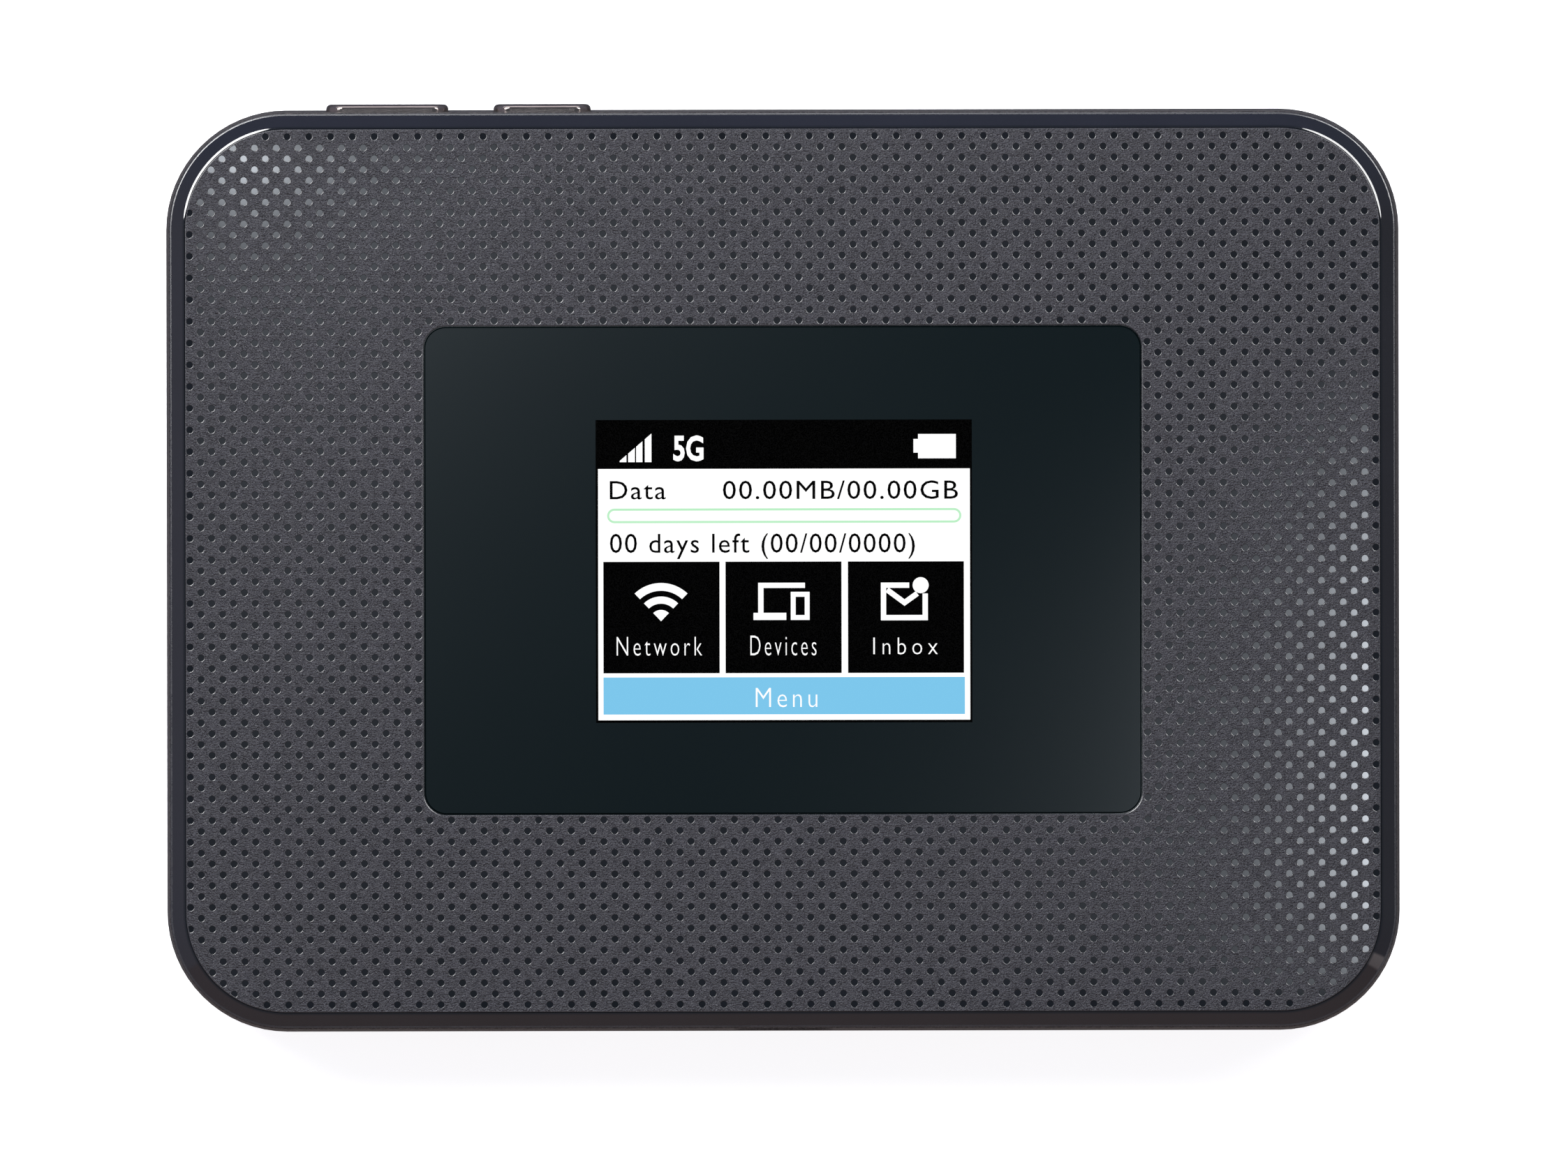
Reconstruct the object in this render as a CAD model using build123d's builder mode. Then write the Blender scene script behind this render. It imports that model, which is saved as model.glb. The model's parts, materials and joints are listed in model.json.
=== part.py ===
from build123d import *

import math
import os

# A pocket-sized mobile hotspot. It lies on its back: X runs along its width, Y along its height with
# the two buttons on the +Y edge, and Z through its thickness, display up. The origin is under its
# middle, on the surface that its four feet stand on. Millimetres.

os.makedirs("parts", exist_ok=True)

# ---------------------------------------------------------------- driving dimensions
case_w = 115.0
case_h = 86.0
corner_r = 11.2

rear_face = 0.5             # the flat back of the case, above the feet's soles
rear_rim = 8.5              # top of the rear cover's wall
seam_gap = 0.1              # the joint line between two shells
frame_bottom = rear_rim + seam_gap
frame_top = 16.2
cover_bottom = frame_top + seam_gap
shoulder_top = 17.0         # foot of the polished bevel
bevel_top = 17.92
face_top = 18.0

rear_draft = 0.35           # how far the rear cover's wall leans in
frame_draft = 0.33          # how far the middle frame's wall leans in
shoulder_inset = 0.40
bevel_foot_inset = 0.57
bevel_head_inset = 1.70
field_inset = 1.84

window_w = 66.9
window_h = 45.56
window_r = 2.1
lens_gap = 0.08
lens_bottom = 16.7
lens_top = 17.8

wall = 1.8                  # middle frame's wall, at its foot
deck_bottom = 8.4
deck_top = 9.4
board_bottom = 10.9
board_top = 11.9

button_z = 12.75
button_rise = 0.49          # how far a cap stands proud of the outline
cap_height = 3.0
button_fit = 0.12
buttons = {"power": (-36.8, 11.4), "menu": (-22.36, 9.07)}    # centre, length

battery_x = -9.0
battery_w = 82.0
battery_h = 60.0
battery_bottom = 1.9
battery_top = 8.1

case_bosses = [(-50.5, -36.5), (50.5, -36.5), (-50.5, 36.5), (50.5, 36.5), (10, 38), (22, -38)]
board_bosses = [(-46, -24), (46, -24), (-46, 24), (46, 24)]
foot_places = [(-44, -30), (44, -30), (-44, 30), (44, 30)]


# ---------------------------------------------------------------- helpers
def case_slab(inset, bottom, top, draft=0.0, mode=Mode.ADD):
    """A slab of the case's outline, moved in by inset, whose wall leans in by draft on its way up."""
    with BuildSketch(Plane.XY.offset(bottom)) as outline:
        RectangleRounded(case_w - 2 * inset, case_h - 2 * inset, corner_r - inset)
    lean = math.degrees(math.atan2(draft, top - bottom))
    extrude(outline.sketch, amount=top - bottom, taper=lean, mode=mode)


def slab(width, height, bottom, top, centre=(0, 0), radius=0.0, mode=Mode.ADD):
    """An upright block on a rectangle, with rounded corners if it has a radius."""
    with BuildSketch(Plane.XY.offset(bottom)) as outline:
        with Locations(centre):
            if radius:
                RectangleRounded(width, height, radius)
            else:
                Rectangle(width, height)
    extrude(outline.sketch, amount=top - bottom, mode=mode)


def pins(radius, bottom, top, places, mode=Mode.ADD):
    """Upright round pins, or bores, at the given places."""
    with BuildSketch(Plane.XY.offset(bottom)) as outline:
        with Locations(*places):
            Circle(radius)
    extrude(outline.sketch, amount=top - bottom, mode=mode)


def pill(width, height, front, back, centre, mode=Mode.ADD):
    """A bar with round ends, lying along Y from front down to back; centre is its (x, z)."""
    with BuildSketch(Plane.XZ.offset(-front)) as outline:
        with Locations(centre):
            SlotOverall(width, height)
    extrude(outline.sketch, amount=front - back, mode=mode)


def block(low, high, mode=Mode.ADD):
    """A square block between two corners."""
    width, height = high[0] - low[0], high[1] - low[1]
    centre = ((low[0] + high[0]) / 2, (low[1] + high[1]) / 2)
    slab(width, height, low[2], high[2], centre, mode=mode)


def write(name, piece):
    """Labels a finished sub-part and writes its STEP file."""
    piece.part.label = name
    export_step(piece.part, f"parts/{name}.step")


# ---------------------------------------------------------------- front cover and display
lip_outer = 1.9
lip_inner = 2.9
lip_bottom = 14.6
plate_bottom = 16.6
ledge_bottom = 15.8
boss_r = 2.0
boss_bottom = 9.5
boss_bore_r = 0.82
boss_bore_top = 15.5
usb_z = 13.55

with BuildPart() as front_cover:
    case_slab(shoulder_inset, cover_bottom, shoulder_top)
    fillet(front_cover.faces().sort_by(Axis.Z)[-1].edges(), 0.15)
    case_slab(bevel_foot_inset, shoulder_top, bevel_top, bevel_head_inset - bevel_foot_inset)
    case_slab(field_inset, bevel_top, face_top)
    case_slab(lip_outer, lip_bottom, cover_bottom)
    case_slab(lip_inner, lip_bottom, plate_bottom, mode=Mode.SUBTRACT)
    slab(71.0, 49.6, ledge_bottom, plate_bottom, radius=3.0)
    pins(boss_r, boss_bottom, plate_bottom, case_bosses)
    slab(window_w, window_h, plate_bottom, face_top, radius=window_r, mode=Mode.SUBTRACT)
    slab(50.0, 37.0, ledge_bottom, plate_bottom, radius=1.0, mode=Mode.SUBTRACT)
    pins(boss_bore_r, boss_bottom, boss_bore_top, case_bosses, mode=Mode.SUBTRACT)
    block((-5.5, -case_h / 2, lip_bottom), (5.5, -39, 15.5), mode=Mode.SUBTRACT)
write("front_cover", front_cover)

with BuildPart() as display_lens:
    slab(
        window_w - 2 * lens_gap,
        window_h - 2 * lens_gap,
        lens_bottom,
        lens_top,
        radius=window_r - lens_gap,
    )
    chamfer(display_lens.faces().sort_by(Axis.Z)[-1].edges(), 0.12)
write("display_lens", display_lens)

with BuildPart() as lens_adhesive:
    slab(66.0, 44.6, plate_bottom, lens_bottom, radius=1.6)
    slab(50.5, 37.5, plate_bottom, lens_bottom, radius=1.0, mode=Mode.SUBTRACT)
write("lens_adhesive", lens_adhesive)

panel_top = 16.3
panel_bottom = 15.2
backlight_bottom = 14.1

with BuildPart() as display_gasket:
    slab(45.0, 33.0, panel_top, lens_bottom)
    slab(36.6, 29.6, panel_top, lens_bottom, mode=Mode.SUBTRACT)
write("display_gasket", display_gasket)

with BuildPart() as lcd_panel:
    slab(45.9, 33.9, panel_bottom, panel_top, radius=0.4)
write("lcd_panel", lcd_panel)

with BuildPart() as lcd_backlight:
    slab(46.7, 34.7, backlight_bottom, panel_top, radius=0.8)
    slab(45.9, 33.9, panel_bottom, panel_top, radius=0.4, mode=Mode.SUBTRACT)
write("lcd_backlight", lcd_backlight)

shield_top = 13.7

with BuildPart() as display_cushion:
    for side in (-1, 1):
        slab(26.0, 3.0, shield_top, backlight_bottom, (-6, 8 + side * 7.0))
write("display_cushion", display_cushion)

flex_t = 0.15
flex_w = 12.0

with BuildPart() as display_flex:
    with BuildSketch(Plane.XZ):
        with BuildLine():
            FilletPolyline(
                (-23.35, 14.5), (-27.2, 14.5), (-29.4, 12.9), (-30.7, 12.9), radius=(0.9, 0.9)
            )
        trace(line_width=flex_t)
    extrude(amount=flex_w / 2, both=True)
write("display_flex", display_flex)

with BuildPart() as display_connector:
    block((-34.0, -7.0, board_top), (-30.8, 7.0, 13.1))
    block((-31.6, -6.1, 12.7), (-30.8, 6.1, 13.1), mode=Mode.SUBTRACT)
write("display_connector", display_connector)

# ---------------------------------------------------------------- middle frame
skirt_outer = 2.0
skirt_inner = 3.0
skirt_bottom = 3.0
bay_gap = 0.3
bay_wall = 1.0
bay_bottom = 2.4
case_screw_hole_r = 0.95
board_screw_r = 0.5
tab_w = 8.0
tab_places = [(-33, "Y"), (33, "Y"), (-26, "X"), (26, "X")]    # along the wall, and which pair of walls

connector_low = (32.6, -6.0, 4.6)
connector_high = (37.6, 6.0, board_bottom)
socket_low = (40.5, -20.0, 9.5)
socket_high = (53.5, -8.0, board_bottom)


def at_tabs(inset_outer, inset_inner, width, bottom, top, mode):
    """The rear cover's eight tabs, or the slots that take them."""
    thick = inset_inner - inset_outer
    for along, axis in tab_places:
        for side in (-1, 1):
            if axis == "Y":
                y = side * (case_h / 2 - (inset_outer + inset_inner) / 2)
                slab(width, thick, bottom, top, (along, y), mode=mode)
            else:
                x = side * (case_w / 2 - (inset_outer + inset_inner) / 2)
                slab(thick, width, bottom, top, (x, along), mode=mode)


with BuildPart() as mid_frame:
    case_slab(0, frame_bottom, frame_top, frame_draft)
    fillet(mid_frame.faces().sort_by(Axis.Z)[-1].edges(), 0.2)
    case_slab(skirt_outer, skirt_bottom, frame_bottom)
    case_slab(skirt_inner, skirt_bottom, deck_bottom, mode=Mode.SUBTRACT)
    case_slab(wall, deck_top, frame_top, mode=Mode.SUBTRACT)
    bay_w = battery_w + 2 * bay_gap
    bay_h = battery_h + 2 * bay_gap
    slab(bay_w + 2 * bay_wall, bay_h + 2 * bay_wall, bay_bottom, deck_bottom, (battery_x, 0), 2.6)
    slab(bay_w, bay_h, bay_bottom, deck_bottom, (battery_x, 0), 1.6, mode=Mode.SUBTRACT)
    block((32.0, -6.4, 4.4), (38.6, 6.4, deck_top), mode=Mode.SUBTRACT)
    block((41.0, -19.5, deck_bottom), (53.0, -8.5, deck_top), mode=Mode.SUBTRACT)
    pins(2.0, deck_top, board_bottom, board_bosses)
    pins(board_screw_r, deck_top, board_bottom, board_bosses, mode=Mode.SUBTRACT)
    pins(case_screw_hole_r, deck_bottom, deck_top, case_bosses, mode=Mode.SUBTRACT)
    at_tabs(lip_outer, 3.05, tab_w + 0.6, skirt_bottom, deck_top, Mode.SUBTRACT)
    for cap_x, cap_length in buttons.values():
        pill(
            cap_length + 2 * button_fit,
            cap_height + 2 * button_fit,
            case_h / 2,
            case_h / 2 - 2.0,
            (cap_x, button_z),
            mode=Mode.SUBTRACT,
        )
    pill(9.3, 3.6, -case_h / 2 + 2.0, -case_h / 2, (0, usb_z), mode=Mode.SUBTRACT)
write("mid_frame", mid_frame)

# ---------------------------------------------------------------- rear cover and feet
rear_inset = 1.9
rear_floor = 1.6
foot_r = 4.5
foot_pocket = 0.5
nail_w = 12.0
nail_depth = 0.9

with BuildPart() as rear_cover:
    case_slab(rear_draft, rear_face, rear_rim, -rear_draft)
    fillet(rear_cover.faces().sort_by(Axis.Z)[0].edges(), 3.0)
    with BuildSketch(Plane.XY.offset(rear_floor)):
        RectangleRounded(case_w - 2 * rear_inset, case_h - 2 * rear_inset, corner_r - rear_inset)
    extrude(amount=rear_rim - rear_floor, mode=Mode.SUBTRACT)
    fillet(rear_cover.faces().filter_by(Plane.XY).sort_by(Axis.Z)[-2].edges(), 1.6)
    at_tabs(rear_inset, 2.9, tab_w, 3.4, 9.3, Mode.ADD)
    pins(foot_r + 0.05, rear_face, rear_face + foot_pocket, foot_places, mode=Mode.SUBTRACT)
    nail_low = (case_w / 2 - nail_depth, -nail_w / 2, rear_rim - nail_depth)
    block(nail_low, (case_w / 2, nail_w / 2, rear_rim), mode=Mode.SUBTRACT)
write("rear_cover", rear_cover)

with BuildPart() as rubber_feet:
    pins(foot_r, 0, rear_face + foot_pocket, foot_places)
    fillet(rubber_feet.faces().group_by(Axis.Z)[0].edges(), 0.25)
write("rubber_feet", rubber_feet)

# ---------------------------------------------------------------- buttons and their switches
cap_front = case_h / 2 + button_rise
flange_front = 41.0
flange_back = 40.5
plunger_front = 40.0
plunger_back = 39.0
switch_front = 39.3
switch_back = 36.2

for name, (cap_x, cap_length) in buttons.items():
    with BuildPart() as button:
        pill(cap_length, cap_height, cap_front, flange_front, (cap_x, button_z))
        fillet(button.faces().sort_by(Axis.Y)[-1].edges(), 0.45)
        pill(cap_length + 0.9, cap_height + 0.5, flange_front, flange_back, (cap_x, button_z))
        pill(3.0, 1.6, flange_back, plunger_front, (cap_x, button_z))
    write(f"{name}_button", button)

    with BuildPart() as plunger:
        block((cap_x - 1.1, plunger_back, button_z - 0.45), (cap_x + 1.1, plunger_front, button_z + 0.45))
    write(f"{name}_plunger", plunger)

    with BuildPart() as switch:
        block((cap_x - 2.3, switch_back, board_top), (cap_x + 2.3, switch_front, 13.6))
        block(
            (cap_x - 1.25, 38.6, button_z - 0.6),
            (cap_x + 1.25, switch_front, button_z + 0.6),
            mode=Mode.SUBTRACT,
        )
    write(f"{name}_switch", switch)

# ---------------------------------------------------------------- main board and what it carries
board_w = 106.0
board_h = 77.0
can_wall = 0.2
cans = {
    "modem_shield": (26.0, 30.0, (28.0, 10.0)),
    "processor_shield": (34.0, 24.0, (-6.0, 8.0)),
    "power_shield": (12.0, 20.0, (-37.0, -24.0)),
}
chips = [
    (14.0, 14.0, 1.0, (-13.0, 8.0)),
    (11.0, 11.5, 0.9, (3.0, 8.0)),
    (12.0, 12.0, 1.0, (24.0, 14.0)),
    (6.0, 8.0, 0.9, (35.5, 4.0)),
    (6.0, 6.0, 0.9, (23.0, 1.0)),
    (6.5, 6.5, 0.9, (-37.0, -20.0)),
    (4.0, 4.0, 1.2, (-37.0, -29.0)),
    (3.2, 2.5, 0.8, (-24.0, -26.0)),
    (4.0, 4.0, 1.5, (16.0, -28.0)),
]

with BuildPart() as main_board:
    slab(board_w, board_h, board_bottom, board_top, radius=7.5)
    pins(boss_r + 0.4, board_bottom, board_top, case_bosses, mode=Mode.SUBTRACT)
    pins(0.75, board_bottom, board_top, board_bosses, mode=Mode.SUBTRACT)
write("main_board", main_board)

for name, (can_w, can_h, can_place) in cans.items():
    with BuildPart() as can:
        slab(can_w, can_h, board_top, shield_top, can_place, 0.8)
        slab(
            can_w - 2 * can_wall,
            can_h - 2 * can_wall,
            board_top,
            shield_top - can_wall,
            can_place,
            0.6,
            mode=Mode.SUBTRACT,
        )
    write(name, can)

with BuildPart() as board_chips:
    for chip_w, chip_h, chip_t, chip_place in chips:
        slab(chip_w, chip_h, board_top, board_top + chip_t, chip_place)
write("board_chips", board_chips)

spreader_top = deck_top + 0.4

with BuildPart() as heat_spreader:
    slab(60.0, 24.0, deck_top, spreader_top, (-4, 18), 1.5)
write("heat_spreader", heat_spreader)

with BuildPart() as thermal_pad:
    slab(30.0, 18.0, spreader_top, board_bottom, (-6, 16), 0.5)
write("thermal_pad", thermal_pad)

# The charging socket: a folded shell with its mouth in the -Y wall, and the tongue inside it.
usb_w = 8.94
usb_t = 3.26
usb_front = -42.6
usb_back = -35.2
usb_wall = 0.3

with BuildPart() as usb_shell:
    pill(usb_w, usb_t, usb_back, usb_front, (0, usb_z))
    pill(
        usb_w - 2 * usb_wall,
        usb_t - 2 * usb_wall,
        usb_back - usb_wall,
        usb_front,
        (0, usb_z),
        mode=Mode.SUBTRACT,
    )
write("usb_shell", usb_shell)

with BuildPart() as usb_tongue:
    pill(8.1, 2.4, usb_back - usb_wall, -36.6, (0, usb_z))
    block((-3.35, -41.8, usb_z - 0.35), (3.35, -36.6, usb_z + 0.35))
write("usb_tongue", usb_tongue)

card_low = (41.6, -18.4, 9.55)
card_high = (52.4, -9.6, 10.22)

with BuildPart() as sim_socket:
    block(socket_low, socket_high)
    block(
        (card_low[0] - 0.2, card_low[1] - 0.2, socket_low[2]),
        (card_high[0] + 0.2, card_high[1] + 0.2, 10.25),
        mode=Mode.SUBTRACT,
    )
write("sim_socket", sim_socket)

with BuildPart() as sim_card:
    block(card_low, card_high)
    chamfer(sim_card.edges().filter_by(Axis.Z).sort_by(SortBy.DISTANCE)[-1], 1.6)
write("sim_card", sim_card)

with BuildPart() as board_screws:
    pins(1.3, board_top, board_top + 0.7, board_bosses)
    pins(board_screw_r - 0.02, deck_top + 0.2, board_top, board_bosses)
    pins(0.5, board_top + 0.3, board_top + 0.7, board_bosses, mode=Mode.SUBTRACT)
write("board_screws", board_screws)

with BuildPart() as case_screws:
    pins(1.4, deck_bottom - 1.0, deck_bottom, case_bosses)
    pins(0.8, deck_bottom, boss_bore_top - 1.1, case_bosses)
    for place in case_bosses:
        with BuildSketch(Plane.XY.offset(deck_bottom - 1.0)) as recess:
            with Locations(place):
                Rectangle(1.4, 0.35)
                Rectangle(0.35, 1.4)
        extrude(recess.sketch, amount=0.5, mode=Mode.SUBTRACT)
write("case_screws", case_screws)

# ---------------------------------------------------------------- battery and its contacts
recess_x = 31.2
battery_end = battery_x + battery_w / 2
contact_ys = [-3.6, -1.2, 1.2, 3.6]

with BuildPart() as battery_pack:
    slab(battery_w, battery_h, battery_bottom, battery_top, (battery_x, 0), 1.8)
    fillet(battery_pack.faces().sort_by(Axis.Z)[0].edges(), 0.7)
    fillet(battery_pack.faces().sort_by(Axis.Z)[-1].edges(), 0.7)
    block((recess_x, -5.0, 3.5), (battery_end, 5.0, battery_top), mode=Mode.SUBTRACT)
write("battery_pack", battery_pack)

with BuildPart() as battery_terminals:
    for y in contact_ys:
        block((recess_x, y - 0.8, 4.4), (recess_x + 0.3, y + 0.8, 7.6))
write("battery_terminals", battery_terminals)

with BuildPart() as battery_connector:
    block(connector_low, connector_high)
    for y in contact_ys:
        block((32.6, y - 0.55, 5.0), (34.2, y + 0.55, 7.8), mode=Mode.SUBTRACT)
write("battery_connector", battery_connector)

with BuildPart() as battery_springs:
    for y in contact_ys:
        with BuildSketch(Plane.XZ.offset(-y)) as leaf:
            with BuildLine():
                FilletPolyline(
                    (34.2, 7.2),
                    (32.6, 7.2),
                    (31.66, 6.2),
                    (32.6, 5.3),
                    (33.4, 5.3),
                    radius=(0.3, 0.4, 0.3),
                )
            trace(line_width=0.16)
        extrude(leaf.sketch, amount=0.4, both=True)
write("battery_springs", battery_springs)

# ---------------------------------------------------------------- aerials on the frame's inner walls
aerial_t = 0.15
aerial_gap = 0.05
aerial_low = 9.8
aerial_high = 14.2
aerial_x = case_w / 2 - wall - aerial_gap
aerial_y = case_h / 2 - wall - aerial_gap
aerials = {
    "antenna_left": ((-aerial_x, -26.0), (-aerial_x + aerial_t, 26.0)),
    "antenna_right": ((aerial_x - aerial_t, -26.0), (aerial_x, 26.0)),
    "antenna_top": ((22.0, aerial_y - aerial_t), (46.0, aerial_y)),
    "antenna_bottom": ((-46.0, -aerial_y), (-10.0, -aerial_y + aerial_t)),
}

for name, (low, high) in aerials.items():
    with BuildPart() as aerial:
        block((*low, aerial_low), (*high, aerial_high))
    write(name, aerial)

clip_places = [(1, "X", -14), (1, "X", 16), (-1, "X", -10), (-1, "X", 16), (1, "Y", 34), (-1, "Y", -24)]
clip_w = 1.6

with BuildPart() as antenna_clips:
    for side, axis, along in clip_places:
        edge = board_w / 2 if axis == "X" else board_h / 2
        reach = (aerial_x if axis == "X" else aerial_y) - aerial_t
        if axis == "X":
            plane = Plane((0, along, 0), x_dir=(side, 0, 0), z_dir=(0, -side, 0))
        else:
            plane = Plane((along, 0, 0), x_dir=(0, side, 0), z_dir=(side, 0, 0))
        with BuildSketch(plane) as leaf:
            with BuildLine():
                FilletPolyline(
                    (edge - 2.6, board_top + 0.1),
                    (edge - 0.4, board_top + 0.1),
                    (edge + 0.6, board_top + 1.5),
                    (reach - 0.15, board_top + 0.6),
                    radius=(0.3, 0.4),
                )
            trace(line_width=0.16)
        extrude(leaf.sketch, amount=clip_w / 2, both=True)
write("antenna_clips", antenna_clips)
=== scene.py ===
import json
import math

import bpy
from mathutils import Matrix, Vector
from mathutils.geometry import delaunay_2d_cdt


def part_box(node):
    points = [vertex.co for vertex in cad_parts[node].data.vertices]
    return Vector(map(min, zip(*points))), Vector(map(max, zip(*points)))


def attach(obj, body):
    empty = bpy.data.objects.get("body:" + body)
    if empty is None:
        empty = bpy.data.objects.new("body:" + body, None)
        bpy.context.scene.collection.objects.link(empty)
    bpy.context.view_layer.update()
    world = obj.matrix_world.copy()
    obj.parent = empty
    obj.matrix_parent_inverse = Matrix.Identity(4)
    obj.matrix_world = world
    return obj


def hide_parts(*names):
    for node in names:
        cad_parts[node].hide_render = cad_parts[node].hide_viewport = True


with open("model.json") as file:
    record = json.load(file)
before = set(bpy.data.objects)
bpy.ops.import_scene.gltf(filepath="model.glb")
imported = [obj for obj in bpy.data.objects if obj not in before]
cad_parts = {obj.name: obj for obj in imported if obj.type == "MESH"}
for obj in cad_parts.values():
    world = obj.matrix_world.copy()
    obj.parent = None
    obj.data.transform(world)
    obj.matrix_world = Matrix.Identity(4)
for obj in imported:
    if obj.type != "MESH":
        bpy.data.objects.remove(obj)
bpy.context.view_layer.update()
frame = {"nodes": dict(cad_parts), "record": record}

# The looks of a pocket-sized mobile hotspot that lies on its back, seen from straight above. Shapes are
# worked out in millimetres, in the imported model's frame, and turned into metres as each mesh is made.
MM = 0.001

# ---------------------------------------------------------------- sizes, mostly from the frame
case_low, case_high = (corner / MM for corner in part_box("mid_frame"))
cover_low, cover_high = (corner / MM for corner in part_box("front_cover"))
lens_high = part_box("display_lens")[1] / MM
tongue_low, tongue_high = (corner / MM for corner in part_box("usb_tongue"))

CASE_W = case_high.x - case_low.x
CASE_H = case_high.y - case_low.y
CORNER_R = 11.2
FACE = cover_high.z                 # the leather-grained field
SEAM_GAP = 0.1
SEAM = case_high.z + SEAM_GAP       # underside of the front cover's rim
LENS_TOP = lens_high.z
LENS_GAP = 0.08
WINDOW_R = 2.1
UNDER_FIELD = LENS_TOP - 0.02       # where the field's moulding meets the cover's body

PITCH = Vector((1.0128, 1.0105))    # half the spacing of the pits along a row and along a column
PIT_SIDES = 11
PIT_RINGS = ((0.36, 0.0), (0.325, 0.010), (0.305, 0.045))      # radius, depth
PIT_FROM_BORDER = 0.2               # a pit's centre is at least this far inside the field's border,
PIT_FROM_WINDOW = 0.25              # and this far from the window
PIT_MARGIN = 0.01                   # the least level face left between a pit and the field's edge
FIELD_EDGE = 1.96                   # inset of the field's level part
FIELD_FOOT = 1.89                   # inset of its outer wall
BORDER_RINGS = ((1.95, 0.002), (1.915, 0.015), (FIELD_FOOT, 0.04))      # inset, drop
WINDOW_EDGE = 0.08                  # width of the field's rounded edge at the window
WINDOW_RINGS = ((0.07, 0.001), (0.01, 0.023), (0.0, 0.035))             # distance from the window, drop
DIP = 0.045                         # how far the face sinks at its border
DIP_CURVE = 3.5                     # how much steeper it gets towards the border
DIP_REACH_X = 1.2                   # width of the strip that sinks, at the left and right
DIP_REACH_Y = 1.7                   # the same, at the top and bottom
ARC_STEPS = 24
NOTCH_FOOT = 5.6                    # half the socket notch's width at the lip's foot
NOTCH_HEAD = 5.5                    # and at its top


# ---------------------------------------------------------------- outlines
def outline(half_w, half_h, radius):
    """A rounded rectangle, counterclockwise, with four more points where the lip has its socket notch."""
    points = []
    for turn, (side_x, side_y) in enumerate(((1, 1), (-1, 1), (-1, -1), (1, -1))):
        centre = Vector((side_x * (half_w - radius), side_y * (half_h - radius)))
        if turn == 3:
            points += [Vector((x, -half_h)) for x in (-NOTCH_FOOT, -NOTCH_HEAD, NOTCH_HEAD, NOTCH_FOOT)]
        for step in range(ARC_STEPS + 1):
            angle = math.radians(90 * (turn + step / ARC_STEPS))
            points.append(centre + radius * Vector((math.cos(angle), math.sin(angle))))
    return points


def case_ring(inset):
    """The case's outline, moved in by inset."""
    return outline(CASE_W / 2 - inset, CASE_H / 2 - inset, CORNER_R - inset)


def window_ring(grow=0.0):
    """The window's outline, moved out by grow."""
    return outline(lens_high.x + LENS_GAP + grow, lens_high.y + LENS_GAP + grow, WINDOW_R + grow)


def from_core(x, y, reach_x, reach_y):
    """The nearest point of a rectangle with these half sizes, and the way from that point to (x, y)."""
    core = Vector((max(-reach_x, min(reach_x, x)), max(-reach_y, min(reach_y, y))))
    return core, Vector((x, y)) - core


def depth_inside(x, y, inset):
    """How far a point lies inside the case's outline, moved in by inset; negative outside it."""
    away = from_core(x, y, CASE_W / 2 - CORNER_R, CASE_H / 2 - CORNER_R)[1]
    return CORNER_R - inset - away.length


def held_inside(x, y, inset):
    """The point itself, or the nearest point of the case's outline, moved in by inset, if it lies outside."""
    core, away = from_core(x, y, CASE_W / 2 - CORNER_R, CASE_H / 2 - CORNER_R)
    radius = CORNER_R - inset
    if away.length > radius:
        away = away.normalized() * radius
    return core + away


def beyond_window(x, y):
    """How far a point lies outside the window's outline; negative inside it."""
    away = from_core(x, y, lens_high.x + LENS_GAP - WINDOW_R, lens_high.y + LENS_GAP - WINDOW_R)[1]
    return away.length - WINDOW_R


def held_clear(x, y, gap):
    """The point itself, or if it is nearer the window's outline than gap, the point moved out to that."""
    core, away = from_core(x, y, lens_high.x + LENS_GAP - WINDOW_R, lens_high.y + LENS_GAP - WINDOW_R)
    if 0 < away.length < WINDOW_R + gap:
        away = away.normalized() * (WINDOW_R + gap)
    return core + away


# ---------------------------------------------------------------- pieces
def add_piece(name, points, faces, body, materials, face_materials=None, sharp=30):
    """A mesh piece from points in millimetres, riding on a body; edges over the sharp angle stay crisp."""
    mesh = bpy.data.meshes.new(name)
    mesh.from_pydata([Vector(point) * MM for point in points], [], faces)
    for material in materials:
        mesh.materials.append(material)
    if face_materials:
        mesh.polygons.foreach_set("material_index", face_materials)
    mesh.polygons.foreach_set("use_smooth", [True] * len(mesh.polygons))
    mesh.set_sharp_from_angle(angle=math.radians(sharp))
    mesh.update()
    piece = bpy.data.objects.new(name, mesh)
    bpy.context.scene.collection.objects.link(piece)
    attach(piece, body)
    return piece


def bridge(faces, upper, lower):
    """Joins two rings of point numbers with four-sided faces."""
    count = len(upper)
    for i in range(count):
        k = (i + 1) % count
        faces.append((upper[i], lower[i], lower[k], upper[k]))


def add_ring(points, ring, z):
    """Adds a ring at one height and returns its point numbers."""
    first = len(points)
    points += [(p.x, p.y, z) for p in ring]
    return list(range(first, len(points)))


# ---------------------------------------------------------------- materials
NOISE = "ShaderNodeTexNoise"
CELLS = "ShaderNodeTexVoronoi"
BRICKS = "ShaderNodeTexBrick"
NOISE_LOW, NOISE_HIGH = 0.35, 0.65  # most of a noise lies between these


def colour(red, green, blue):
    """A colour given as it looks on a screen, 0 to 255, as the linear values that a shader takes."""
    def linear(value):
        value /= 255
        return value / 12.92 if value < 0.04045 else ((value + 0.055) / 1.055) ** 2.4
    return (linear(red), linear(green), linear(blue), 1.0)


def new_material(name, **values):
    """A material whose shader's sockets hold the given values, with Specular meaning its IOR level."""
    material = bpy.data.materials.new(name)
    material.use_nodes = True
    sockets = material.node_tree.nodes["Principled BSDF"].inputs
    for key, value in values.items():
        sockets["Specular IOR Level" if key == "Specular" else key.replace("_", " ")].default_value = value
    return material


def shader_of(material):
    return material.node_tree.nodes["Principled BSDF"]


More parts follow.
